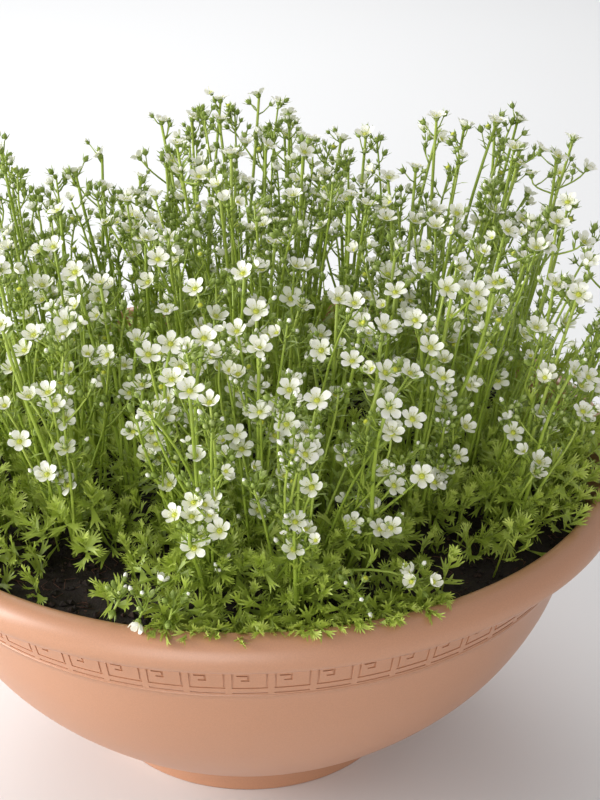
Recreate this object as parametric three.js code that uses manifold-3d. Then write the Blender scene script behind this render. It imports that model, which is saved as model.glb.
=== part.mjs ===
// A potted mossy saxifrage: a wide footed bowl of terracotta coloured plastic, full of soil and
// planted with seven cushions in flower. Each cushion is seven tufts, and each tuft is one solid:
// a small leafy core with cut leaves, and stems that branch near the top into open blooms and a
// bud. Units are millimetres and +Z is up. The origin is on the ground, at the middle of the foot,
// and the front of the bowl faces -Y.

import * as THREE from 'three';
import { mergeVertices } from 'three/addons/utils/BufferGeometryUtils.js';
import Module from 'manifold-3d';

// The bowl
const RIM_RADIUS = 225;
const RIM_TOP = 192;
const LIP_BOTTOM = 172;
const FOOT_RADIUS = 92;
const FOOT_HEIGHT = 12;
const FOOT_RING = 8;
const FOOT_RECESS = 3;
const BOWL_FLOOR = 7.5;
const WALL = 3.5;
const LATHE_SIDES = 36;
const WALL_STEPS = 5;
const SOIL_RADIUS = 203;

// The soil
const SOIL_EDGE = 176.5;
const SOIL_CROWN = 4;
const CLEARANCE = 0.3;

// The planting: one crown in the middle and six round it, each crown seven tufts
const CROWN_SPACING = 137;
const FIRST_CROWN = THREE.MathUtils.degToRad(5);
const TUFT_SPACING = CROWN_SPACING / Math.sqrt(7);
const TUFT_TURN = Math.atan(Math.sqrt(3) / 5);
const TUFT_JITTER = 4;
const TUFT_GAP = 0.8;
const CROWN_TOPS = [372, 352, 364, 364, 354, 350, 350];
const CROWN_DOME = 24;
const CROWN_REACH = 75;

// The canopy leans outwards: places are worked out on a straight bed, then splayed with height
const SPLAY = 0.22;
const SPLAY_POWER = 1.3;
const CANOPY_RADIUS = 200;

// A tuft
const ROOT_RADIUS = 3;
const ROOT_DEPTH = 12;
const CORE_HEIGHT = 40;
const WAIST_HEIGHT = 17;
const WAIST_RADIUS = 14;
const PLAIN_LEAF = [{ reach: 0.72, lift: -2 }, { reach: 1, lift: 2 }];
const LOBED_LEAF = [
  { reach: 0.6, lift: -4 }, { reach: 0.9, lift: 1 }, { reach: 0.72, lift: -1 },
  { reach: 1, lift: 3 }, { reach: 0.72, lift: -1 }, { reach: 0.9, lift: 1 },
];
const LOWER_TIER = { height: 12, size: 31, leaves: 6, leaf: PLAIN_LEAF };
const UPPER_TIER = { height: 30, size: 28, leaves: 4, leaf: LOBED_LEAF };
const MIDDLE = -2;
const STEM_SPOTS = [MIDDLE, 0, 3];
const STEM_START = 10;
const FORK_DROPS = [22, 42];
const NECK = 2.5;
const BLOOM_REACH = 17;
const STEM_DROP = 62;
const LOW_SHARE = 0.55;
const LOW_TOPS = [232, 310];
const STEM_RADIUS = 0.95;
const PEDICEL_RADIUS = 0.75;
const SIDE_BLOOM_SHARE = 0.6;
const BLOOM_RADIUS = 7;
const BUD_RADIUS = 1.9;
const BUD_STALK = 9;
const BUD_SHARE = 0.35;
const SEED = 2024;

const wasm = await Module();
wasm.setup();

const TURN = 2 * Math.PI;
const UP = new THREE.Vector3(0, 0, 1);
const { lerp } = THREE.MathUtils;

// A seeded stream of numbers from 0 to 1
function seededDraws(seed) {
  let state = seed;
  return () => {
    state = (1664525 * state + 1013904223) % 4294967296;
    return state / 4294967296;
  };
}

const draw = seededDraws(SEED);
const spread = (amount) => (2 * draw() - 1) * amount;

// A level vector: azimuth 0 points to the front, and grows towards +X
function compass(radius, azimuth) {
  return new THREE.Vector3(radius * Math.sin(azimuth), -radius * Math.cos(azimuth), 0);
}

// Solids

function solidOf(geometry) {
  const bare = geometry.index ? geometry.clone() : mergeVertices(geometry);
  const vertProperties = new Float32Array(bare.attributes.position.array);
  const triVerts = new Uint32Array(bare.index.array);
  return new wasm.Manifold(new wasm.Mesh({ numProp: 3, vertProperties, triVerts }));
}

function geometryOf(solid) {
  const mesh = solid.getMesh();
  const geometry = new THREE.BufferGeometry();
  geometry.setAttribute('position', new THREE.BufferAttribute(mesh.vertProperties, 3));
  geometry.setIndex(new THREE.BufferAttribute(mesh.triVerts, 1));
  return geometry;
}

const joined = (solids) => solids.reduce((whole, solid) => whole.add(solid));

// A closed skin over a row of rings, each a list of points that runs anticlockwise seen from the
// far end. Neighbouring rings may differ in number of points, and a ring of one point is a tip.
function skin(rings) {
  const points = rings.flat();
  const faces = [];
  let first = 0;
  for (let k = 0; k + 1 < rings.length; k++) {
    const [low, high] = [rings[k].length, rings[k + 1].length];
    const lower = (i) => first + (i % low);
    const upper = (j) => first + low + (j % high);
    let [i, j] = [0, 0];
    while (i < (low > 1 ? low : 0) || j < (high > 1 ? high : 0)) {
      const nextLow = low > 1 ? (i + 1) / low : Infinity;
      const nextHigh = high > 1 ? (j + 1) / high : Infinity;
      if (nextLow <= nextHigh) faces.push(lower(i), lower(++i), upper(j));
      else faces.push(lower(i), upper(j + 1), upper(j++));
    }
    first += low;
  }
  const last = rings[rings.length - 1].length;
  for (let i = 1; i + 1 < rings[0].length; i++) faces.push(0, i + 1, i);
  for (let i = 1; i + 1 < last; i++) faces.push(first, first + i, first + i + 1);
  const geometry = new THREE.BufferGeometry();
  geometry.setAttribute('position', new THREE.Float32BufferAttribute(points.flatMap((p) => [...p]), 3));
  geometry.setIndex(faces);
  return geometry;
}

// A ring of points round an axis, one for each radius in the list
function ring(centre, axis, radii, lift = () => 0, twist = 0) {
  const side = new THREE.Vector3(1, 0, 0).addScaledVector(axis, -axis.x).normalize();
  const across = new THREE.Vector3().crossVectors(axis, side);
  return radii.map((radius, k) => {
    const angle = twist + (k * TURN) / radii.length;
    return centre.clone()
      .addScaledVector(side, radius * Math.cos(angle))
      .addScaledVector(across, radius * Math.sin(angle))
      .addScaledVector(axis, lift(k));
  });
}

const circle = (centre, sides, radius, twist = 0) =>
  ring(centre, UP, Array(sides).fill(radius), () => 0, twist);

// The bowl and its soil

function wallCurve() {
  const places = [
    [FOOT_RADIUS + 1, FOOT_HEIGHT], [135, 44], [166.5, 76.5], [186, 109.5], [196.5, 142],
    [206, LIP_BOTTOM],
  ];
  return new THREE.SplineCurve(places.map(([r, z]) => new THREE.Vector2(r, z)));
}

// Points on the bowl's wall, set in from its outside by a distance
function wallPoints(count, inset) {
  const curve = wallCurve();
  return Array.from({ length: count + 1 }, (_, k) => {
    const along = curve.getTangent(k / count);
    return curve.getPoint(k / count).add(new THREE.Vector2(-along.y, along.x).multiplyScalar(inset));
  });
}

function lathe(profile) {
  const geometry = new THREE.LatheGeometry(profile, LATHE_SIDES);
  geometry.rotateX(Math.PI / 2);
  geometry.deleteAttribute('normal');
  geometry.deleteAttribute('uv');
  return mergeVertices(geometry, 1e-4);
}

function bowl() {
  const outline = [
    [0, FOOT_RECESS], [FOOT_RADIUS - FOOT_RING, FOOT_RECESS], [FOOT_RADIUS - FOOT_RING, 0],
    [FOOT_RADIUS, 0],
  ].map(([r, z]) => new THREE.Vector2(r, z));
  outline.push(...wallPoints(WALL_STEPS, 0));
  const bead = [
    [RIM_RADIUS - 4, LIP_BOTTOM], [RIM_RADIUS, LIP_BOTTOM + 6], [RIM_RADIUS - 2, RIM_TOP - 4],
    [RIM_RADIUS - 9, RIM_TOP], [RIM_RADIUS - 15, RIM_TOP - 3],
  ];
  outline.push(...bead.map(([r, z]) => new THREE.Vector2(r, z)));
  outline.push(...wallPoints(WALL_STEPS, WALL).reverse(), new THREE.Vector2(FOOT_RADIUS - 12, BOWL_FLOOR));
  outline.push(new THREE.Vector2(0, BOWL_FLOOR));
  return lathe(outline);
}

const soilHeight = (radius) => SOIL_EDGE + SOIL_CROWN * (1 - radius / RIM_RADIUS);

// The soil fills the bowl, with a plain three-sided hole for the root of each tuft
function soil(tufts) {
  const inner = wallPoints(WALL_STEPS, WALL + CLEARANCE);
  const brim = inner[WALL_STEPS].clone();
  brim.y = soilHeight(brim.x);
  const outline = [
    new THREE.Vector2(0, BOWL_FLOOR + CLEARANCE),
    new THREE.Vector2(FOOT_RADIUS - 12, BOWL_FLOOR + CLEARANCE),
    ...inner, brim, new THREE.Vector2(0, soilHeight(0)),
  ];
  const holes = tufts.map((tuft) => {
    const at = (height) => tuft.place.clone().setZ(tuft.ground + height);
    const rings = [at(-ROOT_DEPTH - CLEARANCE), at(5)].map((centre) =>
      circle(centre, 3, ROOT_RADIUS + 2 * CLEARANCE, tuft.twist));
    return solidOf(skin(rings));
  });
  return geometryOf(solidOf(lathe(outline)).subtract(joined(holes)));
}

// The planting plan. Every tuft keeps to its own patch of the bed, inside walls half way to its
// neighbours, so that no two tufts cross. Points inside a patch are measured from its middle.

function plantingPlan() {
  const crowns = [new THREE.Vector3()];
  for (let k = 0; k < 6; k++) crowns.push(compass(CROWN_SPACING, FIRST_CROWN + (k * TURN) / 6));
  const tufts = crowns.flatMap((crown, plant) => Array.from({ length: 7 }, (_, k) => {
    const place = k === 0 ? new THREE.Vector3()
      : compass(TUFT_SPACING, FIRST_CROWN + TUFT_TURN + (k * TURN) / 6);
    place.add(crown).add(new THREE.Vector3(spread(TUFT_JITTER), spread(TUFT_JITTER), 0));
    return { name: `plant_${plant + 1}_tuft_${k + 1}`, place, crown, top: CROWN_TOPS[plant] };
  }));
  for (const tuft of tufts) {
    tuft.walls = tufts.filter((other) => other !== tuft).map((other) => {
      const out = other.place.clone().sub(tuft.place);
      const reach = (out.length() - TUFT_GAP) / 2;
      return { out: out.normalize(), reach };
    });
    const out = tuft.place.clone().normalize();
    tuft.edge = { out, reach: CANOPY_RADIUS - tuft.place.length() };
  }
  return tufts;
}

// How far a point can move in a direction and stay a margin away from the walls
function room(walls, from, direction, margin) {
  const steps = walls.filter(({ out }) => out.dot(direction) > 0.01)
    .map(({ out, reach }) => (reach - margin - out.dot(from)) / out.dot(direction));
  return Math.max(0, Math.min(...steps));
}

// From a patch to the splayed canopy
function splayed(tuft, point) {
  const rise = Math.max(0, (point.z - SOIL_EDGE) / (CROWN_TOPS[0] - SOIL_EDGE));
  const wider = 1 + SPLAY * rise ** SPLAY_POWER;
  return new THREE.Vector3(
    (tuft.place.x + point.x) * wider, (tuft.place.y + point.y) * wider, point.z);
}

// The top of a stem: the outermost stems are often short, and the rest end near the canopy's top
function stemTop(tuft, end) {
  const apart = tuft.place.clone().add(end).sub(tuft.crown).length() / CROWN_REACH;
  const outward = tuft.place.length() > CROWN_SPACING && tuft.edge.out.dot(end) > 0;
  const low = draw() < LOW_SHARE;
  const drop = draw();
  if (outward && low) return lerp(...LOW_TOPS, drop);
  return tuft.top - CROWN_DOME * apart ** 2 - STEM_DROP * drop ** 1.6;
}

// Blooms share out a patch in six spots round the middle one, so that they stand side by side
function bloomSpot(tuft, spot) {
  if (spot === MIDDLE) return compass(3 * draw(), TURN * draw());
  const direction = compass(1, tuft.turn + (spot * TURN) / 6 + spread(0.15));
  const free = room([...tuft.walls, tuft.edge], new THREE.Vector3(), direction, BLOOM_RADIUS + 0.6);
  return direction.multiplyScalar(Math.min(free, BLOOM_REACH) * (0.8 + 0.2 * draw()));
}

// A stem rises from the core to a knee, and leans from there to its top. A side bloom may fork off
// above the knee.
function planStem(tuft, spot) {
  const end = bloomSpot(tuft, spot);
  end.z = stemTop(tuft, end);
  const low = tuft.ground + STEM_START;
  const foot = splayed(tuft, end.clone().multiplyScalar(0.15).setZ(low));
  const knee = spot === MIDDLE ? tuft.tip
    : splayed(tuft, end.clone().multiplyScalar(0.4).setZ(lerp(low, end.z, 0.5)));
  const heart = splayed(tuft, end);
  const tilt = compass(0.25 + 0.5 * draw(), TURN * draw());
  const forkDrop = lerp(...FORK_DROPS, draw()) / heart.distanceTo(knee);
  const fork = heart.clone().lerp(knee, Math.min(forkDrop, 0.8));
  const far = bloomSpot(tuft, (spot + 1) % 6);
  far.z = fork.z + 10 + 8 * draw();
  const forked = draw() < SIDE_BLOOM_SHARE;
  const sideTilt = far.clone().setZ(0).setLength(0.3 + 0.4 * draw());
  const sides = forked ? [{ heart: splayed(tuft, far), tilt: sideTilt }] : [];
  return { foot, knee, fork, heart, tilt, sides };
}

function planTuft(tuft) {
  tuft.ground = soilHeight(tuft.place.length());
  tuft.turn = TURN * draw();
  tuft.twist = spread(0.5);
  tuft.tip = tuft.place.clone().setZ(tuft.ground + CORE_HEIGHT);
  tuft.stems = STEM_SPOTS.map((spot) => planStem(tuft, spot));
  return tuft;
}

// The pieces of a tuft

// Five petals in a shallow cup, on a stalk that ends in a ring
function cup(stalk, heart, tilt) {
  const axis = UP.clone().add(tilt).normalize();
  const petals = Array.from({ length: 10 }, (_, k) => (k % 2 ? 0.56 : 1) * BLOOM_RADIUS * 0.97);
  const open = ring(heart, axis, petals, (k) => (k % 2 ? 1.2 : 2));
  return solidOf(skin([...stalk, open, [heart.clone().addScaledVector(axis, 0.9)]]));
}

function bloomingStem({ knee, heart, tilt }, base) {
  const along = heart.clone().sub(knee).normalize();
  const neck = heart.clone().addScaledVector(along, -NECK);
  return cup([...base, ring(neck, UP, Array(3).fill(STEM_RADIUS))], heart, tilt);
}

function sideBloom(fork, { heart, tilt }) {
  const along = heart.clone().sub(fork).normalize();
  const neck = heart.clone().addScaledVector(UP.clone().add(tilt).normalize(), -NECK);
  const stalk = [
    ring(fork, along, Array(3).fill(PEDICEL_RADIUS / 2)),
    ring(neck, along, Array(3).fill(PEDICEL_RADIUS)),
  ];
  return cup(stalk, heart, tilt);
}

function bud(fork, azimuth) {
  const along = compass(0.8, azimuth).add(UP).normalize();
  const swell = fork.clone().addScaledVector(along, BUD_STALK);
  return solidOf(skin([
    ring(fork, along, Array(3).fill(PEDICEL_RADIUS / 2)),
    ring(swell, along, Array(4).fill(BUD_RADIUS)),
    [swell.clone().addScaledVector(along, 1.4 * BUD_RADIUS)],
  ]));
}

// A tier of leaves round the core, which fills the tuft's patch
function tier(tuft, walls, { height, size, leaves, leaf }) {
  const lobes = Array(leaves).fill(leaf).flat();
  const radii = lobes.map(({ reach }, k) => {
    const angle = tuft.twist + (k * TURN) / lobes.length;
    const direction = new THREE.Vector3(Math.cos(angle), Math.sin(angle), 0);
    return reach * Math.min(size, room(walls, new THREE.Vector3(), direction, CLEARANCE));
  });
  const centre = tuft.place.clone().setZ(tuft.ground + height);
  return ring(centre, UP, radii, (k) => lobes[k].lift, tuft.twist);
}

// The core is slim at the root, carries a tier of plain leaves and one of lobed leaves, and
// narrows to the middle stem
function core(tuft) {
  const at = (height) => tuft.place.clone().setZ(tuft.ground + height);
  const brim = (radius) => ({ out: tuft.edge.out, reach: radius - tuft.place.length() });
  return [
    circle(at(-ROOT_DEPTH), 3, ROOT_RADIUS, tuft.twist),
    circle(at(0.6), 3, ROOT_RADIUS, tuft.twist),
    tier(tuft, [...tuft.walls, brim(SOIL_RADIUS - 3)], LOWER_TIER),
    circle(at(WAIST_HEIGHT), 6, WAIST_RADIUS, tuft.twist),
    tier(tuft, [...tuft.walls, brim(RIM_RADIUS - 4)], UPPER_TIER),
    circle(tuft.tip, 3, 1.5 * STEM_RADIUS, tuft.twist),
  ];
}

// The other stems start inside the core
function stemFoot({ foot, knee }) {
  return [foot, knee].map((point) => ring(point, UP, Array(3).fill(STEM_RADIUS)));
}

function tuftSolid(tuft) {
  const solids = tuft.stems.flatMap((stem, k) => [
    bloomingStem(stem, k === 0 ? core(tuft) : stemFoot(stem)),
    ...stem.sides.map((side) => sideBloom(stem.fork, side)),
  ]);
  if (draw() < BUD_SHARE) solids.push(bud(tuft.stems[0].fork, tuft.turn + 2.1));
  return geometryOf(joined(solids));
}

// The group

const finishes = {
  pot: new THREE.MeshStandardMaterial({ color: 0xc8845a, roughness: 0.5 }),
  soil: new THREE.MeshStandardMaterial({ color: 0x2a1d15, roughness: 1 }),
  plant: new THREE.MeshStandardMaterial({ color: 0x7da243, roughness: 0.7, flatShading: true }),
};

function named(name, geometry, finish) {
  const mesh = new THREE.Mesh(geometry, finish);
  mesh.name = name;
  return mesh;
}

const tufts = plantingPlan().map(planTuft);
const group = new THREE.Group();
group.add(named('pot', bowl(), finishes.pot));
group.add(named('soil', soil(tufts), finishes.soil));
for (const tuft of tufts) group.add(named(tuft.name, tuftSolid(tuft), finishes.plant));

export default group;
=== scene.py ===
# %% [markdown]
# A potted mossy saxifrage, dressed in Blender.
# The model that this lesson starts from is a wide footed bowl, its soil and seven leafy cushions in
# flower, as plain solids at their real size. The bowl, the soil and each cushion get a finer mesh here
# that keeps the form of the solid it stands for: cut leaves, curved stems, flowers with five petals,
# buds with pointed sepals, and the key pattern that is moulded round the bowl.

import math
import random

import bpy
import numpy as np
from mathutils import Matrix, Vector, noise


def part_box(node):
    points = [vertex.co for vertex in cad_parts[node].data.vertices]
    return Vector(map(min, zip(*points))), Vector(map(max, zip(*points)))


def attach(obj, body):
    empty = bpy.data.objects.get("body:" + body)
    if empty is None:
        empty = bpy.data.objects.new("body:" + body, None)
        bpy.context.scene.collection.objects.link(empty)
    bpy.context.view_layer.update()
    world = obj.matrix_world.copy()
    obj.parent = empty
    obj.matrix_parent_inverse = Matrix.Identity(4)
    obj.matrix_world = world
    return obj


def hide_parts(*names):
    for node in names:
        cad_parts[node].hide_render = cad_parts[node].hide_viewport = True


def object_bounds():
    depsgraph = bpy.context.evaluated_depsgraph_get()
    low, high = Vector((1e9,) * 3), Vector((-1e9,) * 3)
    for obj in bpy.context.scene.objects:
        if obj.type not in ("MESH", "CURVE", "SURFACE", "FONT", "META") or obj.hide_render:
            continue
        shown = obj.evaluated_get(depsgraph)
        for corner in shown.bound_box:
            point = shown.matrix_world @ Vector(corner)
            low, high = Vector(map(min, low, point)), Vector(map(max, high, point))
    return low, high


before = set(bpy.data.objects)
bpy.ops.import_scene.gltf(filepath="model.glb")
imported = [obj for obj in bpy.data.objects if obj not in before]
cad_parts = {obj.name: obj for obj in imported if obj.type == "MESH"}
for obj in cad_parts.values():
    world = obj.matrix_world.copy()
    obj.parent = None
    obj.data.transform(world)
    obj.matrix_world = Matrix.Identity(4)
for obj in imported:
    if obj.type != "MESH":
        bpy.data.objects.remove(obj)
cad_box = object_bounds()
print("nodes", len(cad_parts), "box", [[round(x, 4) for x in corner] for corner in cad_box])

# %% [markdown]
# The camera stands in front of the bowl and looks down on it by 26 degrees, from about a metre away.
# Its place was worked out from the photograph: the ellipse of the rim gives the height, and the
# width of the key pattern gives the distance. The lens is long, so the bowl's sides stay parallel.

# %% Camera
CAMERA_PLACE = (0.0313, -0.9626, 0.6859)
CAMERA_TILT = math.radians(64)
LENS = 81

camera = bpy.data.objects.new("camera", bpy.data.cameras.new("camera"))
camera.data.lens = LENS
camera.location = CAMERA_PLACE
camera.rotation_euler = (CAMERA_TILT, 0, 0)
bpy.context.scene.collection.objects.link(camera)
bpy.context.scene.camera = camera
print("camera at", CAMERA_PLACE, "lens", LENS)

# %% [markdown]
# The light is that of a white studio: a broad soft lamp at the left, a weaker one in front and one
# behind, and a pale room all round. A broad lamp is an area light with a large size, and the room is
# the world's background colour. Small lamps would give hard shadows, which the photograph doesn't
# have.

# %% Lamps, room and floor
LAMPS = {
    "key_lamp": {"place": (-2.2, -0.35, 0.95), "size": 1.3, "watts": 60},
    "front_lamp": {"place": (-0.5, -2.2, 0.55), "size": 1.4, "watts": 19},
    "back_lamp": {"place": (-0.5, 1.9, 1.8), "size": 1.8, "watts": 31},
}
ROOM_COLOUR = (0.97, 0.98, 1.0, 1)
ROOM_STRENGTH = 0.51
LIT_PLACE = Vector((0, 0, 0.2))


def area_lamp(name, place, size, watts):
    """A square lamp that shines on the middle of the plant"""
    lamp = bpy.data.objects.new(name, bpy.data.lights.new(name, "AREA"))
    lamp.data.size = size
    lamp.data.energy = watts
    lamp.location = place
    lamp.rotation_euler = (LIT_PLACE - Vector(place)).to_track_quat("-Z", "Y").to_euler()
    bpy.context.scene.collection.objects.link(lamp)
    return lamp


lamps = [area_lamp(name, **facts) for name, facts in LAMPS.items()]

room = bpy.data.worlds.new("room")
bpy.context.scene.world = room
room.use_nodes = True
room.node_tree.nodes["Background"].inputs["Color"].default_value = ROOM_COLOUR
room.node_tree.nodes["Background"].inputs["Strength"].default_value = ROOM_STRENGTH
bpy.context.scene.view_settings.view_transform = "Standard"
print("lamps", [lamp.name for lamp in lamps])

# %% [markdown]
# Shader nodes are easier to read as sums. This small class wraps a socket of a node, and its
# operators add the Math nodes. One method of the finish makes every other node from its type, its
# settings and the values or links of its sockets.

# %% Shader sums
class Wire:
    """A socket of a finish, which can stand in a Python sum"""

    def __init__(self, finish, socket):
        self.finish, self.socket = finish, socket

    def sum(self, operation, first, second):
        return self.finish.node("ShaderNodeMath", {"operation": operation}, {0: first, 1: second})

    def __add__(self, other):
        return self.sum("ADD", self, other)

    def __radd__(self, other):
        return self.sum("ADD", other, self)

    def __sub__(self, other):
        return self.sum("SUBTRACT", self, other)

    def __rsub__(self, other):
        return self.sum("SUBTRACT", other, self)

    def __mul__(self, other):
        return self.sum("MULTIPLY", self, other)

    def __rmul__(self, other):
        return self.sum("MULTIPLY", other, self)

    def __pow__(self, other):
        return self.sum("POWER", self, other)


class Finish:
    """A material and the nodes that make it"""

    def __init__(self, name):
        self.material = bpy.data.materials.new(name)
        self.material.use_nodes = True
        self.tree = self.material.node_tree
        self.tree.nodes.clear()

    def node(self, kind, settings=None, sockets=None, output=0):
        """Makes a node: settings first, then the values or links of its sockets"""
        made = self.tree.nodes.new(kind)
        for key, value in (settings or {}).items():
            if key == "stops":
                self.set_stops(made.color_ramp, value)
            else:
                setattr(made, key, value)
        for key, value in (sockets or {}).items():
            if isinstance(value, Wire):
                self.tree.links.new(value.socket, made.inputs[key])
            else:
                made.inputs[key].default_value = value
        return Wire(self, made.outputs[output]) if made.outputs else None

    def set_stops(self, ramp, stops):
        """Puts a ramp's colours at their places"""
        while len(ramp.elements) < len(stops):
            ramp.elements.new(1)
        for element, (place, colour) in zip(ramp.elements, stops):
            element.position, element.color = place, (*colour, 1)

    def ramp(self, amount, stops):
        return self.node("ShaderNodeValToRGB", {"stops": stops}, {0: amount})

    def mix(self, first, second, share, blend="MIX"):
        """A mix of two colours, given as wires or as red, green and blue"""
        first, second = [c if isinstance(c, Wire) else (*c, 1) for c in (first, second)]
        settings = {"data_type": "RGBA", "blend_type": blend}
        return self.node("ShaderNodeMix", settings, {0: share, 6: first, 7: second}, 2)

    def grain(self, scale, detail=2.0):
        """Noise that is fixed to the object"""
        place = self.node("ShaderNodeTexCoord", output=3)
        return self.node("ShaderNodeTexNoise", sockets={"Vector": place, "Scale": scale, "Detail": detail})

    def attribute(self, name):
        return self.node("ShaderNodeAttribute", {"attribute_name": name}, output=2)

    def bump(self, height, strength, distance):
        return self.node("ShaderNodeBump", sockets={
            "Height": height, "Strength": strength, "Distance": distance})

    def end(self, surface):
        self.node("ShaderNodeOutputMaterial", sockets={"Surface": surface})
        return self.material


def solid_finish(finish, colour, roughness, normal=None, **more):
    """A plain solid surface with a colour that may vary"""
    sockets = {"Base Color": colour, "Roughness": roughness, **more}
    if normal is not None:
        sockets["Normal"] = normal
    return finish.node("ShaderNodeBsdfPrincipled", sockets=sockets)


print("shader helpers ready")

# %% [markdown]
# The floor is a plain pale sheet. It isn't part of the plant.

# %% Floor
FLOOR_SIZE = 12
FLOOR_COLOUR = (0.80, 0.80, 0.80)


def floor_finish():
    paper = Finish("floor_paper")
    cloud = paper.grain(1.4)
    colour = paper.mix(FLOOR_COLOUR, [0.97 * c for c in FLOOR_COLOUR], cloud)
    return paper.end(solid_finish(paper, colour, 0.6))


half = FLOOR_SIZE / 2
floor_mesh = bpy.data.meshes.new("floor")
corners = [(-half, -half, 0), (half, -half, 0), (half, half, 0), (-half, half, 0)]
floor_mesh.from_pydata(corners, [], [(0, 1, 2, 3)])
floor_mesh.materials.append(floor_finish())
floor = bpy.data.objects.new("floor", floor_mesh)
bpy.context.scene.collection.objects.link(floor)
print("floor", FLOOR_SIZE, "m wide")

# %% [markdown]
# Most pieces here are hundreds of small shapes in one mesh. Separate objects would be slow, and
# instances are lost when the model leaves Blender, so this class gathers points and faces in
# millimetres and makes one mesh of them. It also keeps two numbers for each point, which the
# finishes read: a tone that differs from shape to shape, and how far along its shape the point is.

# %% Gathering small shapes
MM = 0.001
TAU = 2 * math.pi
UP = np.array([0.0, 0.0, 1.0])


class Heap:
    """Many small shapes that become one mesh"""

    def __init__(self):
        self.points, self.faces, self.paints, self.tones, self.alongs = [], [], [], [], []
        self.count = 0

    def add(self, points, faces, paint=0, tone=0.5, along=0.0):
        """Adds a shape, with the number of its finish"""
        first = self.count
        self.points.append(np.asarray(points, float))
        self.faces.extend([tuple(first + i for i in face) for face in faces])
        self.paints.extend([paint] * len(faces))
        self.count += len(points)
        self.tones.append(np.broadcast_to(tone, len(points)))
        self.alongs.append(np.broadcast_to(along, len(points)))

    def piece(self, name, finishes, smooth=True, keep_in=None):
        """Makes the object. keep_in is a box, in metres, that holds every point."""
        points = np.concatenate(self.points) * MM
        if keep_in:
            points = np.clip(points, *[np.array(corner) for corner in keep_in])
        mesh = bpy.data.meshes.new(name)
        mesh.from_pydata(points.tolist(), [], self.faces)
        for finish in finishes:
            mesh.materials.append(finish)
        mesh.polygons.foreach_set("material_index", self.paints)
        mesh.polygons.foreach_set("use_smooth", [smooth] * len(self.faces))
        for title, lists in (("tone", self.tones), ("along", self.alongs)):
            values = np.concatenate(lists).astype(np.float32)
            mesh.attributes.new(title, "FLOAT", "POINT").data.foreach_set("value", values)
        mesh.validate()
        thing = bpy.data.objects.new(name, mesh)
        bpy.context.scene.collection.objects.link(thing)
        return thing


def ring_faces(rings, sides):
    """Faces round a body of rings, and one face that closes each end"""
    faces = []
    for k in range(rings - 1):
        low, high = k * sides, (k + 1) * sides
        for i in range(sides):
            after = (i + 1) % sides
            faces.append((low + i, low + after, high + after, high + i))
    last = (rings - 1) * sides
    return faces + [tuple(range(sides - 1, -1, -1)), tuple(range(last, last + sides))]


def triangles(thing):
    """How many triangles a piece has"""
    return sum(len(face.vertices) - 2 for face in thing.data.polygons)


def compass(radius, azimuth):
    """A level vector: azimuth 0 points to the front, and grows to the right"""
    return np.array([radius * math.sin(azimuth), -radius * math.cos(azimuth), 0.0])


def unit(vector):
    return vector / np.linalg.norm(vector)


def lerp(first, last, share):
    return first + (last - first) * share


print("heap ready")

# %% [markdown]
# The bowl is turned from one outline, as a lathe would do it. A screw modifier could spin a curve,
# but points worked out in code can also carry the key pattern exactly. The wall is a smooth curve
# through six points of the model, the same as in the model's own outline.

# %% Outline of the bowl
RIM_RADIUS = 1000 * cad_box[1][0]
RIM_TOP = 1000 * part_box("pot")[1].z
FOOT_RADIUS = 92
FOOT_HEIGHT = 12
FOOT_RING = 8
FOOT_RECESS = 3
BOWL_FLOOR = 7.5
WALL = 3.5
LIP_BOTTOM = 172
WALL_PLACES = [(93, 12), (135, 44), (166.5, 76.5), (186, 109.5), (196.5, 142), (206, 172)]


def curve_point(places, share):
    """A point on the smooth curve through the places, from share 0 to 1"""
    step = share * (len(places) - 1)
    k = min(int(step), len(places) - 2)
    w = step - k
    a, b, c, d = [np.array(places[min(max(i, 0), len(places) - 1)], float) for i in range(k - 1, k + 3)]
    pull, push = (c - a) / 2, (d - b) / 2
    return (2 * b - 2 * c + pull + push) * w**3 + (3 * c - 3 * b - 2 * pull - push) * w**2 + pull * w + b


WALL_CURVE = np.array([curve_point(WALL_PLACES, share) for share in np.linspace(0, 1, 121)])


def wall_radius(height):
    """The outside radius of the wall at a height"""
    return float(np.interp(height, WALL_CURVE[:, 1], WALL_CURVE[:, 0]))


print("wall radius at the band", round(wall_radius(153), 1), "mm")

# %% [markdown]
# Round the bowl, just under the rim, runs an old key pattern: narrow grooves cut a shallow band into
# a chain of hooks. A bump map would fade in profile, so the band is real geometry. The wall is set
# back by the depth of the grooves, and plates stand on it wherever the pattern has no groove. One
# motif is a small map of letters, where a dot is groove, with a width for each column and a height
# for each row.

# %% Key pattern
BAND_TOP = 160.6
MOTIFS = 57
FIRST_BAR = math.radians(-1.6)
GROOVE_DEPTH = 0.55
PLATE_ROOT = 0.2
COLUMNS = [2.0, 1.0, 1.6, 2.2, 3.2, 1.0, 8.6, 1.0, 1.4]
ROWS = [0.8, 0.8, 1.0, 2.6, 1.0, 4.8, 1.0, 2.9, 1.0, 1.1]
KEY = [
    "#########",
    "#.#####.#",
    "#.#...#.#",
    "#.###.#.#",
    "#.##..#.#",
    "#.#####.#",
    "#.......#",
    "#########",
    "#.......#",
    "#########",
]
BAND_BOTTOM = BAND_TOP - sum(ROWS)


def band_point(column_place, row_place, motif, depth):
    """A point of the band: places in millimetres from the motif's left and from the band's top"""
    azimuth = FIRST_BAR + TAU / MOTIFS * (motif + column_place / sum(COLUMNS))
    height = BAND_TOP - row_place
    return compass(wall_radius(height) - depth, azimuth) + UP * height


def is_groove(row, column):
    """Whether a part of the map is groove. So is everything above and below the band."""
    return not 0 <= row < len(ROWS) or KEY[row][column % len(COLUMNS)] == "."


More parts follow.
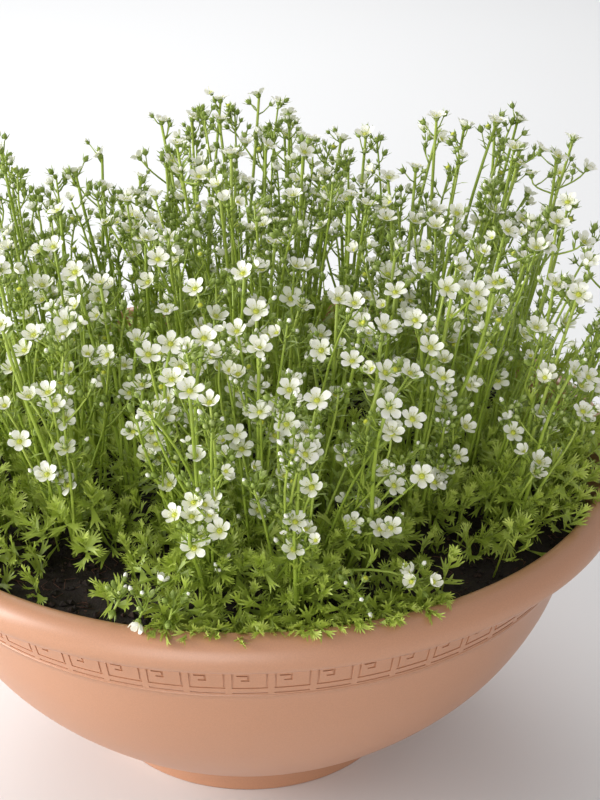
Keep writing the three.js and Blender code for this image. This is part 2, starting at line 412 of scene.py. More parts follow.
def key_band(heap):
    """The plates between the grooves. A plate has sides only where it borders on a groove."""
    lefts, tops = np.cumsum([0, *COLUMNS]), np.cumsum([0, *ROWS])
    for motif in range(MOTIFS):
        for row in range(len(ROWS)):
            for column in range(len(COLUMNS)):
                if is_groove(row, column):
                    continue
                x = lefts[column], lefts[column + 1]
                y = tops[row], tops[row + 1]
                corners = [(x[0], y[1]), (x[1], y[1]), (x[1], y[0]), (x[0], y[0])]
                plate = [band_point(*place, motif, 0) for place in corners]
                foot = [band_point(*place, motif, GROOVE_DEPTH + PLATE_ROOT) for place in corners]
                faces = [(0, 1, 2, 3)]
                sides = [(row + 1, column), (row, column + 1), (row - 1, column), (row, column - 1)]
                for k, side in enumerate(sides):
                    if is_groove(*side):
                        after = (k + 1) % 4
                        faces.append((k, k + 4, after + 4, after))
                heap.add(plate + foot, faces, along=1.0)


print("band from", round(BAND_BOTTOM, 1), "to", BAND_TOP, "mm")

# %% [markdown]
# The whole bowl is one piece: foot ring with a closed recessed base, wall, band, a rim rolled
# outwards as a smooth bead, and the inside down to its floor.

# %% Bowl mesh
POT_SIDES = 192
BEAD = [(206.5, 166), (210, 168.5), (216, 170.5), (221, 173), (224, 176.3), (225, 180), (224.4, 184),
        (222.3, 188), (218.5, 191), (214, 192), (211.3, 191.2), (210, 189)]
LEDGE = 0.35
LIP_SLOPE = 0.42
NEAR_AXIS = 0.1


def pot_outline():
    """The outline from the middle of the base, up the outside and down the inside"""
    recess = FOOT_RADIUS - FOOT_RING
    outline = [(NEAR_AXIS, FOOT_RECESS), (recess - 1, FOOT_RECESS), (recess, FOOT_RECESS - 1),
               (recess, 0.6), (recess + 0.6, 0), (FOOT_RADIUS - 1.2, 0), (FOOT_RADIUS - 0.3, 0.4),
               (FOOT_RADIUS, 1.3), (FOOT_RADIUS + 0.2, FOOT_HEIGHT - 1)]
    heights = np.linspace(FOOT_HEIGHT, BAND_BOTTOM - 1.5, 40)
    outline += [(wall_radius(h), h) for h in heights]
    middle = lerp(BAND_BOTTOM, BAND_TOP, 0.5)
    band = [(BAND_BOTTOM - 1.2, LEDGE), (BAND_BOTTOM - 0.3, LEDGE), (BAND_BOTTOM - 0.05, -GROOVE_DEPTH),
            (middle, -GROOVE_DEPTH), (BAND_TOP + 0.05, -GROOVE_DEPTH),
            (BAND_TOP + 0.3, LEDGE), (BAND_TOP + 1.2, LEDGE), (BAND_TOP + 1.5, 0)]
    outline += [(wall_radius(height) + out, height) for height, out in band]
    outline += [tuple(curve_point(BEAD, share)) for share in np.linspace(0, 1, 34)]
    inside = np.linspace(BEAD[-1][1] - 3, BOWL_FLOOR + 6, 24)
    outline += [(wall_radius(min(h, LIP_BOTTOM)) - WALL + max(0, h - LIP_BOTTOM) * LIP_SLOPE, h) for h in inside]
    outline += [(FOOT_RADIUS - 12, BOWL_FLOOR), (NEAR_AXIS, BOWL_FLOOR)]
    return outline


def turned(heap, outline, sides):
    """Spins an outline round the upright axis, closed at both ends"""
    angles = np.arange(sides) * TAU / sides
    radii, heights = np.array(outline).T
    x = np.outer(radii, np.sin(angles))
    y = -np.outer(radii, np.cos(angles))
    z = np.outer(heights, np.ones(sides))
    points = np.stack([x, y, z], -1).reshape(-1, 3)
    heap.add(points, ring_faces(len(outline), sides))


pot_heap = Heap()
turned(pot_heap, pot_outline(), POT_SIDES)
turned_faces = len(pot_heap.faces)
key_band(pot_heap)
print("points of the bowl", pot_heap.count)

# %% [markdown]
# The bowl is terracotta coloured plastic, matte with a soft sheen. Moulded plastic isn't one even
# colour: it has faint cloudy streaks and a very fine grain. Both are noise, one in the colour and one
# in the bump.

# %% Bowl finish
TERRACOTTA = (0.50, 0.238, 0.128)


def plastic_finish():
    plastic = Finish("terracotta_plastic")
    cloud = plastic.grain(9, 3)
    fine = plastic.grain(1400, 2)
    colour = plastic.mix([0.95 * c for c in TERRACOTTA], [1.05 * c for c in TERRACOTTA], cloud)
    speck = plastic.ramp(fine, [(0.3, (0.94, 0.94, 0.94)), (0.7, (1.04, 1.04, 1.04))])
    colour = plastic.mix(colour, speck, 1.0, "MULTIPLY")
    rough = 0.34 + 0.08 * cloud
    gloss = {"Specular IOR Level": 0.85}
    return plastic.end(solid_finish(plastic, colour, rough, plastic.bump(fine, 0.12, 0.0002), **gloss))


pot = pot_heap.piece("planting_bowl", [plastic_finish()])
smooth = [k < turned_faces for k in range(len(pot.data.polygons))]
pot.data.polygons.foreach_set("use_smooth", smooth)
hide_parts("pot")
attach(pot, "root")
print("bowl triangles", triangles(pot))

# %% [markdown]
# The plan of the planting is the same sum as in the model: one seeded stream of numbers settles where
# each tuft stands, where its stems end and where they fork. Because the stream is the same, every
# stem here stands where its solid stands.

# %% Planting plan
CROWN_SPACING = 137
FIRST_CROWN = math.radians(5)
TUFT_SPACING = CROWN_SPACING / math.sqrt(7)
TUFT_TURN = math.atan(math.sqrt(3) / 5)
TUFT_JITTER = 4
TUFT_GAP = 0.8
CROWN_TOPS = [372, 352, 364, 364, 354, 350, 350]
CROWN_DOME = 24
CROWN_REACH = 75
SOIL_EDGE = 176.5
SOIL_CROWN = 4
SPLAY = 0.22
SPLAY_POWER = 1.3
CANOPY_RADIUS = 200
CORE_HEIGHT = 40
MIDDLE = -2
STEM_SPOTS = [MIDDLE, 0, 3]
STEM_START = 10
FORK_DROPS = (22, 42)
BLOOM_RADIUS = 7
BLOOM_REACH = 17
STEM_DROP = 62
LOW_SHARE = 0.55
LOW_TOPS = (232, 310)
SIDE_BLOOM_SHARE = 0.6
SEED = 2024


class Draws:
    """A seeded stream of numbers from 0 to 1"""

    def __init__(self, seed):
        self.state = seed

    def __call__(self):
        self.state = (1664525 * self.state + 1013904223) % 2**32
        return self.state / 2**32

    def spread(self, amount):
        return (2 * self() - 1) * amount


class Tuft:
    """A tuft's place in the bed, and the walls half way to its neighbours"""

    def __init__(self, plant, number, place, crown):
        self.plant, self.number, self.place, self.crown = plant, number, place, crown
        self.top = CROWN_TOPS[plant]

    def splayed(self, point, height):
        """A point of the patch, moved outwards as the canopy spreads with height"""
        rise = max(0, (height - SOIL_EDGE) / (CROWN_TOPS[0] - SOIL_EDGE))
        wider = 1 + SPLAY * rise**SPLAY_POWER
        return np.array([*((self.place + point)[:2] * wider), height])

    def room(self, direction, margin):
        """How far a point can go from the middle and stay a margin away from the walls"""
        steps = [(reach - margin) / (out @ direction) for out, reach in self.walls if out @ direction > 0.01]
        return max(0, min(steps))


def soil_height(radius):
    return SOIL_EDGE + SOIL_CROWN * (1 - radius / RIM_RADIUS)


def plan_bed(draw):
    """The places of all tufts"""
    crowns = [np.zeros(3)] + [compass(CROWN_SPACING, FIRST_CROWN + k * TAU / 6) for k in range(6)]
    tufts = []
    for plant, crown in enumerate(crowns):
        for k in range(7):
            offset = compass(TUFT_SPACING, FIRST_CROWN + TUFT_TURN + k * TAU / 6) if k else np.zeros(3)
            shift = np.array([draw.spread(TUFT_JITTER), draw.spread(TUFT_JITTER), 0])
            tufts.append(Tuft(plant, k, crown + offset + shift, crown))
    for tuft in tufts:
        ways = [other.place - tuft.place for other in tufts if other is not tuft]
        tuft.walls = [(unit(way), (np.linalg.norm(way) - TUFT_GAP) / 2) for way in ways]
        tuft.radius = np.linalg.norm(tuft.place)
        tuft.outward = unit(tuft.place)
        tuft.walls.append((tuft.outward, CANOPY_RADIUS - tuft.radius))
    return tufts


print("plan helpers ready")

# %% [markdown]
# Only the numbers of the stems are drawn here, and the rods and flowers come later. A stem starts in
# the middle of its tuft, goes over a knee, and ends at a flower in its own part of the patch. Below
# the flower lies the fork, where a side stalk may leave.

# %% Stems of the plan
def bloom_spot(tuft, spot, draw):
    """Where a stem ends, seen from above"""
    if spot == MIDDLE:
        radius = 3 * draw()
        return compass(radius, TAU * draw())
    direction = compass(1, tuft.turn + spot * TAU / 6 + draw.spread(0.15))
    free = min(tuft.room(direction, BLOOM_RADIUS + 0.6), BLOOM_REACH)
    return direction * free * (0.8 + 0.2 * draw())


def stem_top(tuft, end, draw):
    """The height of a stem: the outermost ones are often short"""
    apart = np.linalg.norm(tuft.place + end - tuft.crown) / CROWN_REACH
    outward = tuft.radius > CROWN_SPACING and tuft.outward @ end > 0
    low, drop = draw() < LOW_SHARE, draw()
    if outward and low:
        return lerp(*LOW_TOPS, drop)
    return tuft.top - CROWN_DOME * apart**2 - STEM_DROP * drop**1.6


def plan_stem(tuft, spot, draw):
    end = bloom_spot(tuft, spot, draw)
    top = stem_top(tuft, end, draw)
    low = tuft.ground + STEM_START
    foot = tuft.splayed(0.15 * end, low)
    knee = tuft.tip if spot == MIDDLE else tuft.splayed(0.4 * end, lerp(low, top, 0.5))
    heart = tuft.splayed(end, top)
    lean = 0.25 + 0.5 * draw()
    tilt = compass(lean, TAU * draw())
    drop = lerp(*FORK_DROPS, draw()) / np.linalg.norm(heart - knee)
    fork = lerp(heart, knee, min(drop, 0.8))
    far = bloom_spot(tuft, (spot + 1) % 6, draw)
    far_top = fork[2] + 10 + 8 * draw()
    forked = draw() < SIDE_BLOOM_SHARE
    side_tilt = unit(far) * (0.3 + 0.4 * draw())
    sides = [{"heart": tuft.splayed(far, far_top), "tilt": side_tilt}] if forked else []
    return {"foot": foot, "knee": knee, "fork": fork, "heart": heart, "tilt": tilt, "sides": sides}


draw = Draws(SEED)
tufts = plan_bed(draw)
for tuft in tufts:
    tuft.ground = soil_height(tuft.radius)
    tuft.turn = TAU * draw()
    draw()  # the model turns the leaves of its solid tuft by this number
    tuft.tip = np.array([*tuft.place[:2], tuft.ground + CORE_HEIGHT])
    tuft.stems = [plan_stem(tuft, spot, draw) for spot in STEM_SPOTS]


def node_name(tuft):
    return f"plant_{tuft.plant + 1}_tuft_{tuft.number + 1}"


tops = [max(stem["heart"][2] for stem in tuft.stems) for tuft in tufts]
misses = [abs(1000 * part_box(node_name(tuft))[1].z - top) for tuft, top in zip(tufts, tops)]
print("stems", sum(len(tuft.stems) for tuft in tufts), "largest miss of a top", round(max(misses), 1), "mm")

# %% [markdown]
# The soil is a dark crumbly mix. From the camera it shows in the gaps between the plants, where its
# surface is a heap of lumps. A displace modifier could lift a flat disc, but the crumbs need to know
# how high the bed is, so code lifts its points by two sizes of noise. Below, the bed has the shape of
# the bowl.

# %% Soil bed
SOIL_RINGS = 44
SOIL_SIDES = 180
LUMPS = [(14, 2.4), (5, 1.4)]
SOIL_GAP = 0.5


def soil_lift(x, y):
    """How far the noise lifts the bed at a place, in millimetres"""
    return sum(size * noise.noise(Vector((x / wide, y / wide, wide))) for wide, size in LUMPS)


def soil_point(radius, angle):
    place = compass(radius, angle)
    return place + UP * (soil_height(radius) + soil_lift(*place[:2]))


def soil_bed(heap):
    brim = wall_radius(LIP_BOTTOM) - WALL - SOIL_GAP
    radii = brim * np.linspace(0.002, 1, SOIL_RINGS) ** 0.8
    top = [soil_point(radius, k * TAU / SOIL_SIDES) for radius in radii for k in range(SOIL_SIDES)]
    heights = np.linspace(160, BOWL_FLOOR + 8, 8)
    low = [(wall_radius(h) - WALL - SOIL_GAP, h) for h in heights] + [(FOOT_RADIUS - 13, BOWL_FLOOR + 0.4)]
    side = [compass(radius, k * TAU / SOIL_SIDES) + UP * h for radius, h in low for k in range(SOIL_SIDES)]
    faces = [face[::-1] for face in ring_faces(SOIL_RINGS + len(low), SOIL_SIDES)]
    heap.add(top + side, faces, tone=0.35)


soil_heap = Heap()
soil_bed(soil_heap)
print("points of the bed", soil_heap.count)

# %% [markdown]
# Loose crumbs of peat and thin reddish fibres lie on the bed. A particle system could scatter them,
# but then each would be an instance. A crumb is a block of eight faces, stretched by chance, and a
# fibre is a thin bent rod. More of them lie near the rim, where no plant covers the soil.

# %% Crumbs and fibres
CRUMBS = 4400
CRUMB_SIZES = (0.6, 3.2)
FIBRES = 700
FIBRE_RADII = (0.14, 0.2, 0.12)
BED_RADIUS = 201
CRUMB_CORNERS = np.array([(1, 0, 0), (0, 1, 0), (-1, 0, 0), (0, -1, 0), (0, 0, 1), (0, 0, -1)], float)
CRUMB_FACES = [(0, 1, 4), (1, 2, 4), (2, 3, 4), (3, 0, 4), (1, 0, 5), (2, 1, 5), (3, 2, 5), (0, 3, 5)]


def bed_place(rng):
    """A place on the bed, more often near the rim, where no plant covers it"""
    return compass(BED_RADIUS * rng.random() ** 0.3, TAU * rng.random())


def turn_matrix(forward, face):
    """Columns that turn +X to forward and +Z towards face"""
    forward = unit(forward)
    across = np.cross(face, forward)
    across = unit(across) if np.linalg.norm(across) > 1e-6 else np.array([0.0, 1.0, 0.0])
    return np.stack([forward, across, np.cross(forward, across)], 1)


def tube(heap, path, radii, sides, paint=0, tone=0.5, spans=(0.0, 1.0)):
    """A round rod along a path, closed at both ends, with a radius for each point"""
    path = np.asarray(path, float)
    ways = np.gradient(path, axis=0)
    side = np.array([1.0, 0.0, 0.0]) if abs(unit(ways[0])[0]) < 0.9 else np.array([0.0, 1.0, 0.0])
    angles = np.arange(sides) * TAU / sides
    points = []
    for point, way, radius in zip(path, ways, radii):
        way = unit(way)
        side = unit(side - way * (way @ side))
        across = np.cross(way, side)
        points.append(point + radius * (np.outer(np.cos(angles), side) + np.outer(np.sin(angles), across)))
    along = np.repeat(np.linspace(*spans, len(path)), sides)
    heap.add(np.concatenate(points), ring_faces(len(path), sides), paint, tone, along)


def crumb(heap, rng):
    """One lump of peat, lying in the bed"""
    size = lerp(*CRUMB_SIZES, rng.random() ** 2.2)
    place = bed_place(rng)
    place[2] = soil_height(np.linalg.norm(place)) + soil_lift(*place[:2]) + 0.3 * size
    shape = CRUMB_CORNERS * size * np.array([[rng.uniform(0.6, 1.1)] for _ in CRUMB_CORNERS])
    spin = turn_matrix(compass(1, TAU * rng.random()) + UP * rng.uniform(-0.5, 0.5), UP)
    heap.add(shape @ spin.T * [1, 1, 0.8] + place, CRUMB_FACES, 0, rng.random())


def fibre(heap, rng):
    """A reddish fibre that lies over the crumbs"""
    start = bed_place(rng)
    way, length = TAU * rng.random(), rng.uniform(3, 12)
    path = []
    for share in np.linspace(0, 1, 3):
        place = start + compass(length * share, way + 1.2 * share * rng.uniform(-1, 1))
        place[2] = soil_height(np.linalg.norm(place)) + soil_lift(*place[:2]) + 0.8 + rng.uniform(0, 1.5)
        path.append(place)
    tube(heap, path, FIBRE_RADII, 3, 1, rng.random())


SOIL_SEED = 31
rng = random.Random(SOIL_SEED)
for _ in range(CRUMBS):
    crumb(soil_heap, rng)
for _ in range(FIBRES):
    fibre(soil_heap, rng)
print("points of the soil", soil_heap.count)

# %% [markdown]
# Peat is nearly black in its hollows and brown on its crumbs. A ramp goes from one to the other by
# the tone of each crumb and by fine noise. It is rough all over, because dry soil doesn't shine, and
# a bump breaks its surface up further.

# %% Soil finish
PEAT = [(0.0, (0.006, 0.004, 0.003)), (0.5, (0.020, 0.011, 0.007)), (1.0, (0.085, 0.042, 0.025))]
FIBRE_BROWN = (0.15, 0.055, 0.03)


def peat_finish():
    peat = Finish("peat")
    amount = 0.45 * peat.attribute("tone") + 0.7 * peat.grain(260, 4) - 0.12
    rough = peat.grain(900, 3)
    colour = peat.ramp(amount, PEAT)
    return peat.end(solid_finish(peat, colour, 0.75 + 0.25 * rough, peat.bump(rough, 0.8, 0.0006)))


def fibre_finish():
    bark = Finish("root_fibre")
    colour = bark.mix(FIBRE_BROWN, [0.5 * c for c in FIBRE_BROWN], bark.grain(400))
    return bark.end(solid_finish(bark, colour, 0.8))


soil = soil_heap.piece("potting_soil", [peat_finish(), fibre_finish()], smooth=False)
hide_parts("soil")
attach(soil, "root")
print("soil triangles", triangles(soil))

# %% [markdown]
# A leaf of this plant is a small hand: a thin petiole, a palm and three to seven narrow fingers, each
# twisted a little. Ten leaves with different fans and curls give enough variety, because thousands of
# them lie in each other's shade. The leaves are sheets without thickness, and their twist and curl
# let them catch the light from every side.

# %% Leaf shapes
PETIOLE = 7.5
FINGER = 8.6
FINGER_WIDTH = 0.6
FINGER_TWIST = 0.22
SHOULDER = 0.74
PALM = 3.7
FANS = {3: 0.55, 5: 0.9, 7: 1.15}


def leaf_shape(fingers, curl, rng):
    """A leaf along +X with its face to +Z. Returns its points and its faces."""
    angles = np.linspace(-1, 1, fingers) * FANS[fingers] + [rng.uniform(-0.08, 0.08) for _ in range(fingers)]
    notches = np.concatenate([[angles[0] - 0.35], (angles[1:] + angles[:-1]) / 2, [angles[-1] + 0.35]])
    points = [(-PETIOLE, 0.3, 0), (-PETIOLE, -0.3, 0), (0.8, 0, -0.25)]
    points += [(PALM * math.cos(a) * 0.8, PALM * math.sin(a) * 0.8, 0.12) for a in notches]
    faces = [(1, 3, 2, 0), (0, 2, 3 + fingers)]
    for k, angle in enumerate(angles):
        length = FINGER * (1 - 0.3 * (angle / 1.35) ** 2) * rng.uniform(0.85, 1.1)
        first = len(points)
        cos, sin = math.cos(angle), math.sin(angle)
        for share, side in [(SHOULDER, -1), (SHOULDER, 1), (1, 0)]:
            x, y = share * length, side * FINGER_WIDTH
            points.append((x * cos - y * sin, x * sin + y * cos, FINGER_TWIST * side))
        low, high, tip = range(first, first + 3)
        faces += [(2, 3 + k, 4 + k), (3 + k, low, high, 4 + k), (low, tip, high)]
    points = np.array(points)
    along = (points[:, 0] + PETIOLE) / (PETIOLE + FINGER)
    points[:, 2] += curl * np.maximum(along, 0) ** 2 * (1 + 0.3 * np.abs(points[:, 1]))
    return points, faces, along


LEAF_SEED = 5
rng = random.Random(LEAF_SEED)
leaf_shapes = [leaf_shape(fingers, curl, rng) for fingers, curl in
               [(3, 2), (5, 3), (5, 0.5), (3, -1.5), (5, -1.5), (7, 0), (5, 1.5), (3, -1), (3, 0.5), (5, 4)]]
print("leaf shapes", len(leaf_shapes), "with", [len(shape[1]) for shape in leaf_shapes], "faces")

# %% [markdown]
# The leaves sit in rosettes at the ends of short shoots, each leaf turned by the golden angle from
# the last. Ten shoots fill the patch of a tuft and make a low dome. The leaves hide the shoots
# themselves, so only the rosettes are made.

# %% Rosettes
STALK_STEPS = 8
GOLDEN = math.radians(137.5)
SHOOTS = 10
LEAVES = 15
PATCH = 29
CUSHION_HEIGHT = 60
LEAF_SIZES = (0.62, 0.9)
SHOOT_LENGTH = 20
CUSHION_EDGE = 199


def bent(points, steps=STALK_STEPS):
    """Points along the smooth curve that starts and ends at the outer two of four points"""
    a, b, c, d = points
    shares = np.linspace(0, 1, steps + 1)[:, None]
    rest = 1 - shares
    return rest**3 * a + 3 * rest**2 * shares * b + 3 * rest * shares**2 * c + shares**3 * d


def add_leaf(heap, base, direction, face, size, tone, rng):
    points, faces, along = rng.choice(leaf_shapes)
    spin = turn_matrix(direction, face)
    moved = (points + [PETIOLE, 0, 0]) * size * [1, rng.uniform(0.8, 1.1), 1]
    heap.add(moved @ spin.T + base, faces, 0, tone, along)


def rosette(heap, end, axis, count, size, rng):
    """Leaves round the end of a shoot: the lowest spread, and the youngest stand up"""
    axis = unit(axis)
    side = unit(np.cross(axis, [0.3, 1, 0.1]))
    across = np.cross(axis, side)
    start, shade = TAU * rng.random(), rng.uniform(-0.15, 0.15)
    for k in range(count):
        share = (k + 0.5) / count
        azimuth = start + k * GOLDEN
        rise = math.radians(lerp(-12, 80, share**0.8) + rng.uniform(-20, 20))
        level = side * math.cos(azimuth) + across * math.sin(azimuth)
        direction = level * math.cos(rise) + axis * math.sin(rise)
        face = axis - direction * (axis @ direction) + across * rng.uniform(-0.35, 0.35)
        base = end + axis * (SHOOT_LENGTH * (share - 1)) - direction
        # A lower leaf gets a lower tone, and so a darker green: painted shade under the younger leaves above it.
        # The rest of the tone differs at random.
        tone = min(1, max(0, 0.25 + 0.5 * share + shade + rng.uniform(-0.15, 0.15)))
        leaf_size = size * lerp(1.1, 0.65, share) * rng.uniform(0.8, 1.15)
        add_leaf(heap, base, direction, face, leaf_size, tone, rng)


def cushion(heap, tuft, rng):
    """The rosettes of one tuft"""
    for k in range(SHOOTS):
        reach = PATCH * math.sqrt((k + 0.4) / SHOOTS)
        offset = compass(reach, tuft.turn + k * GOLDEN + rng.uniform(-0.2, 0.2))
        place = tuft.place + offset
        radius = np.linalg.norm(place[:2])
        if radius > CUSHION_EDGE:
            place = place * CUSHION_EDGE / radius
            radius = CUSHION_EDGE
        height = CUSHION_HEIGHT * (1 - 0.45 * (reach / PATCH) ** 2) * rng.uniform(0.55, 1.08)
        end = place + UP * (tuft.ground + height)
        lean = offset / PATCH * 0.5 + unit(tuft.place + 1e-6) * 0.45 * (radius / CANOPY_RADIUS) ** 4
        rosette(heap, end, UP + lean, LEAVES, rng.uniform(*LEAF_SIZES), rng)


print("leaves", SHOOTS * LEAVES * len(tufts))

# %% [markdown]
# More rosettes stand low in the gaps between the tufts and out to the rim. At the front some lean
# over the rim, and at the right longer shoots hang over it. They need no pattern of their own: one
# function makes a shoot with its rosette, and three small ones say where it ends and how it leans.
# In a few bare patches the soil stays open, as between the plants in the photograph.

# %% Low rosettes
LOW_ROSETTES = 430
LOW_ROSETTE_EDGE = 204
# A bare patch is given by its azimuth in degrees, its distance from the middle and its radius.
BARE_PATCHES = [(-31, 166, 24), (-25, 186, 22), (40, 184, 18), (155, 192, 9), (-152, 194, 9), (-95, 194, 8)]
RIM_ROSETTES = 38
RIM_AZIMUTHS = (-13, 30)
SIDE_ROSETTES = 34
SIDE_AZIMUTHS = (58, 104)


def leaning_rosette(heap, foot, end, axis, count, size, rng):
    """A rosette at the end of a thin shoot"""
    tube(heap, bent([foot, foot + UP * 12, end - unit(axis) * 8, end], 2), [0.6] * 3, 3, 0, 0.7)
    rosette(heap, end, axis, count, size, rng)


def is_bare(place):
    """Whether a place lies in a patch that shows the soil"""
    patches = [(compass(radius, math.radians(degrees)), size) for degrees, radius, size in BARE_PATCHES]
    return any(np.linalg.norm((place - middle)[:2]) < size for middle, size in patches)


def low_rosette(heap, place, rng):
    """A rosette close to the soil, in a gap between the tufts or between a plant and the rim"""
    radius = np.linalg.norm(place)
    end = place + UP * (SOIL_EDGE + rng.uniform(10, 38))
    foot = place * 0.95 + UP * SOIL_EDGE
    lean = place / radius * rng.uniform(0, 0.9) * (radius / CANOPY_RADIUS) ** 2
    axis = lean + compass(0.3, TAU * rng.random()) + UP
    leaning_rosette(heap, foot, end, axis, 10, rng.uniform(0.6, 0.9), rng)


def rim_rosette(heap, azimuth, rng):
    """A small rosette at the front that leans over the rim"""
    end = compass(rng.uniform(209, 222), azimuth) + UP * (RIM_TOP + rng.uniform(-1, 3))
    foot = compass(192, azimuth + rng.uniform(-0.05, 0.05)) + UP * (SOIL_EDGE + 4)
    axis = compass(1, azimuth + rng.uniform(-0.5, 0.5)) + UP * rng.uniform(-0.2, 0.7)
    leaning_rosette(heap, foot, end, axis, 11, rng.uniform(0.55, 0.78), rng)


def side_rosette(heap, azimuth, rng):
    """A rosette on a longer shoot, that hangs over the rim at the right"""
    end = compass(rng.uniform(199, 217), azimuth) + UP * (RIM_TOP + rng.uniform(2, 40))
    foot = compass(186, azimuth) + UP * (SOIL_EDGE + 4)
    axis = compass(0.6, azimuth + rng.uniform(-0.5, 0.5)) + UP * rng.uniform(0.3, 1)
    leaning_rosette(heap, foot, end, axis, 12, rng.uniform(0.6, 0.85), rng)


def rosettes_along(heap, make, count, azimuths, rng):
    """Rosettes that one function makes, spread between two azimuths in degrees"""
    for k in range(count):
        make(heap, math.radians(lerp(*azimuths, (k + rng.random()) / count)), rng)


print("low rosettes", LOW_ROSETTES, "rim rosettes", RIM_ROSETTES, "side rosettes", SIDE_ROSETTES)

# %% [markdown]
# The stems are thin, slightly bent rods. Each follows the two straight stretches of its solid as one
# smooth curve, and tapers to its flower. Small narrow leaves stand off them.

# %% Stems and small leaves
STEM_RADII = (1.3, 0.85)
PEDICEL_RADII = (0.62, 0.5)
SWAY = 7


def stem_path(foot, knee, heart, axis, rng):
    """The curve of a stem, which sways a little and ends square to its flower"""
    end = heart - axis * 2.4
    sway = compass(rng.uniform(0, SWAY), TAU * rng.random())
    return bent([foot, lerp(foot, knee, 0.8) - sway, lerp(knee, end, 0.35) - axis * 4 + 2 * sway, end])


def side_path(start, end, axis):
    """A side stalk leaves its stem, and turns up to its flower"""
    reach = np.linalg.norm(end - start)
    away = unit(unit(end - start) + 0.5 * (unit(end - start) - axis * 0.6))
    return bent([start, start + away * 0.35 * reach, end - axis * 0.35 * reach, end], 5)


def narrow_leaf(heap, base, direction, length, width, tone, paint=0):
    """A lance-shaped leaf with a fold along its middle"""
    spin = turn_matrix(direction, UP)
    rows = [(0, 0.35), (0.5, 1.0)]
    points = [(x * length, side * w * width / 2, abs(side) * 0.12 * width - 0.25 * x * x * length)
              for x, w in rows for side in (-1, 0, 1)] + [(length, 0, -0.25 * length)]
    faces = [(0, 3, 4, 1), (1, 4, 5, 2), (3, 6, 4), (4, 6, 5)]
    along = [0, 0, 0, 0.5, 0.5, 0.5, 1]
    heap.add(np.array(points) @ spin.T + base, faces, paint, tone, along)


def path_point(path, share):
    """The place at a share of a path"""
    k = share * (len(path) - 1)
    low = int(min(k, len(path) - 2))
    return lerp(path[low], path[low + 1], k - low)


def dress_stem(plant, path, narrow, cut, rng):
    """Puts narrow leaves along a stem, and cut leaves on its lower half"""
    for _ in range(narrow):
        way = compass(1, TAU * rng.random()) + UP * rng.uniform(0.4, 1.4)
        narrow_leaf(plant.stems, path_point(path, rng.uniform(0.25, 0.95)), unit(way), rng.uniform(4, 10),
                    rng.uniform(1.2, 2.4), rng.uniform(0, 0.8), 1)
    for _ in range(cut):
        way = unit(compass(1, TAU * rng.random()) + UP * rng.uniform(0.5, 1.6))
        add_leaf(plant.leaves, path_point(path, rng.uniform(0.08, 0.55)), way, UP, rng.uniform(0.5, 0.85),
                 rng.uniform(0.2, 1), rng)


print("stem helpers ready")

# %% [markdown]
# Under each flower sits a green cup with five pointed sepals, which shows wherever the flower is seen
# from the side. A bud is the same cup, closed. Buds stand in small sprays below and beside the
# flowers, and make the top of the plant look spiky.

# %% Cups and buds
ASIDE = (0.2, 1, 0.1)
CUP_RINGS = [(0.55, -3.2), (1.7, -2.1), (2.1, -0.3)]
BUD_RINGS = [(0.5, 0), (1.5, 1.2), (1.3, 3.2), (0.2, 4.5)]
BUD_SIDES = 5
SEPAL_SIDE = 0.42
SEPAL_KEEL = 1.12
SEPAL_FACES = [(0, 1, 2), (0, 2, 3), (1, 3, 2)]


def profile(heap, place, axis, rings, sides, paint, tone, size=1.0, spans=(0.0, 1.0)):
    """A body of rings, each a radius and a height along an axis"""
    spin = turn_matrix(axis, ASIDE)
    angles = np.arange(sides) * TAU / sides
    points = np.concatenate([np.stack([np.full(sides, h), r * np.cos(angles), r * np.sin(angles)], 1)
                             for r, h in rings]) * size
    along = np.repeat(np.linspace(*spans, len(rings)), sides)
    heap.add(points @ spin.T + place, ring_faces(len(rings), sides), paint, tone, along)


def sepals(heap, place, axis, radius, low, high, flare, paint, tone, size=1.0, turn=0.0):
    """Five pointed sepals round a cup or a bud, from a low to a high place on the axis"""
    spin = turn_matrix(axis, ASIDE)
    corners = [(low, radius, -SEPAL_SIDE), (low, radius, SEPAL_SIDE),
               (lerp(low, high, 0.55), radius + 0.5 * flare, 0), (high, radius + flare, 0)]
    for k in range(5):
        angle = turn + k * TAU / 5
        points = np.array([(h, r * math.cos(angle + side), r * math.sin(angle + side))
                           for h, r, side in corners])
        points[2, 1:] *= SEPAL_KEEL
        heap.add(points * size @ spin.T + place, SEPAL_FACES, paint, tone, [0, 0, 0.6, 1])


def flower_cup(heap, heart, axis, tone, size=1.0, turn=0.0, flare=2.3):
    profile(heap, heart, axis, CUP_RINGS, 6, 1, tone, size, (0, 0.6))
    sepals(heap, heart, axis, 2.0, -0.9, 1.3, flare, 1, 0.6 * tone, size, turn)


def bud(heap, place, axis, tone, size=1.0):
    profile(heap, place, axis, BUD_RINGS, BUD_SIDES, 1, tone, size)
    sepals(heap, place, axis, 1.4, 1.0, 4.6, 1.9, 1, 0.6 * tone, size)


print("cups and buds ready")

# %% [markdown]
# A flower measures seven or eight millimetres from its middle to its petal tips. Each of the five
# petals is a small curved grid: narrow at its base, broad and round near its tip, with a shallow dent
# at the end. It rises from the cup and then spreads. How far it opens differs from flower to flower.

# %% Petals
OPEN_GRID = (5, 5)
CLOSED_GRID = (4, 4)
PETAL_START = 1.2
PETAL_REACH = 7.6
PETAL_WIDTH = 2.5
PETAL_WIDEST = 0.66
OPEN_FROM = 0.4


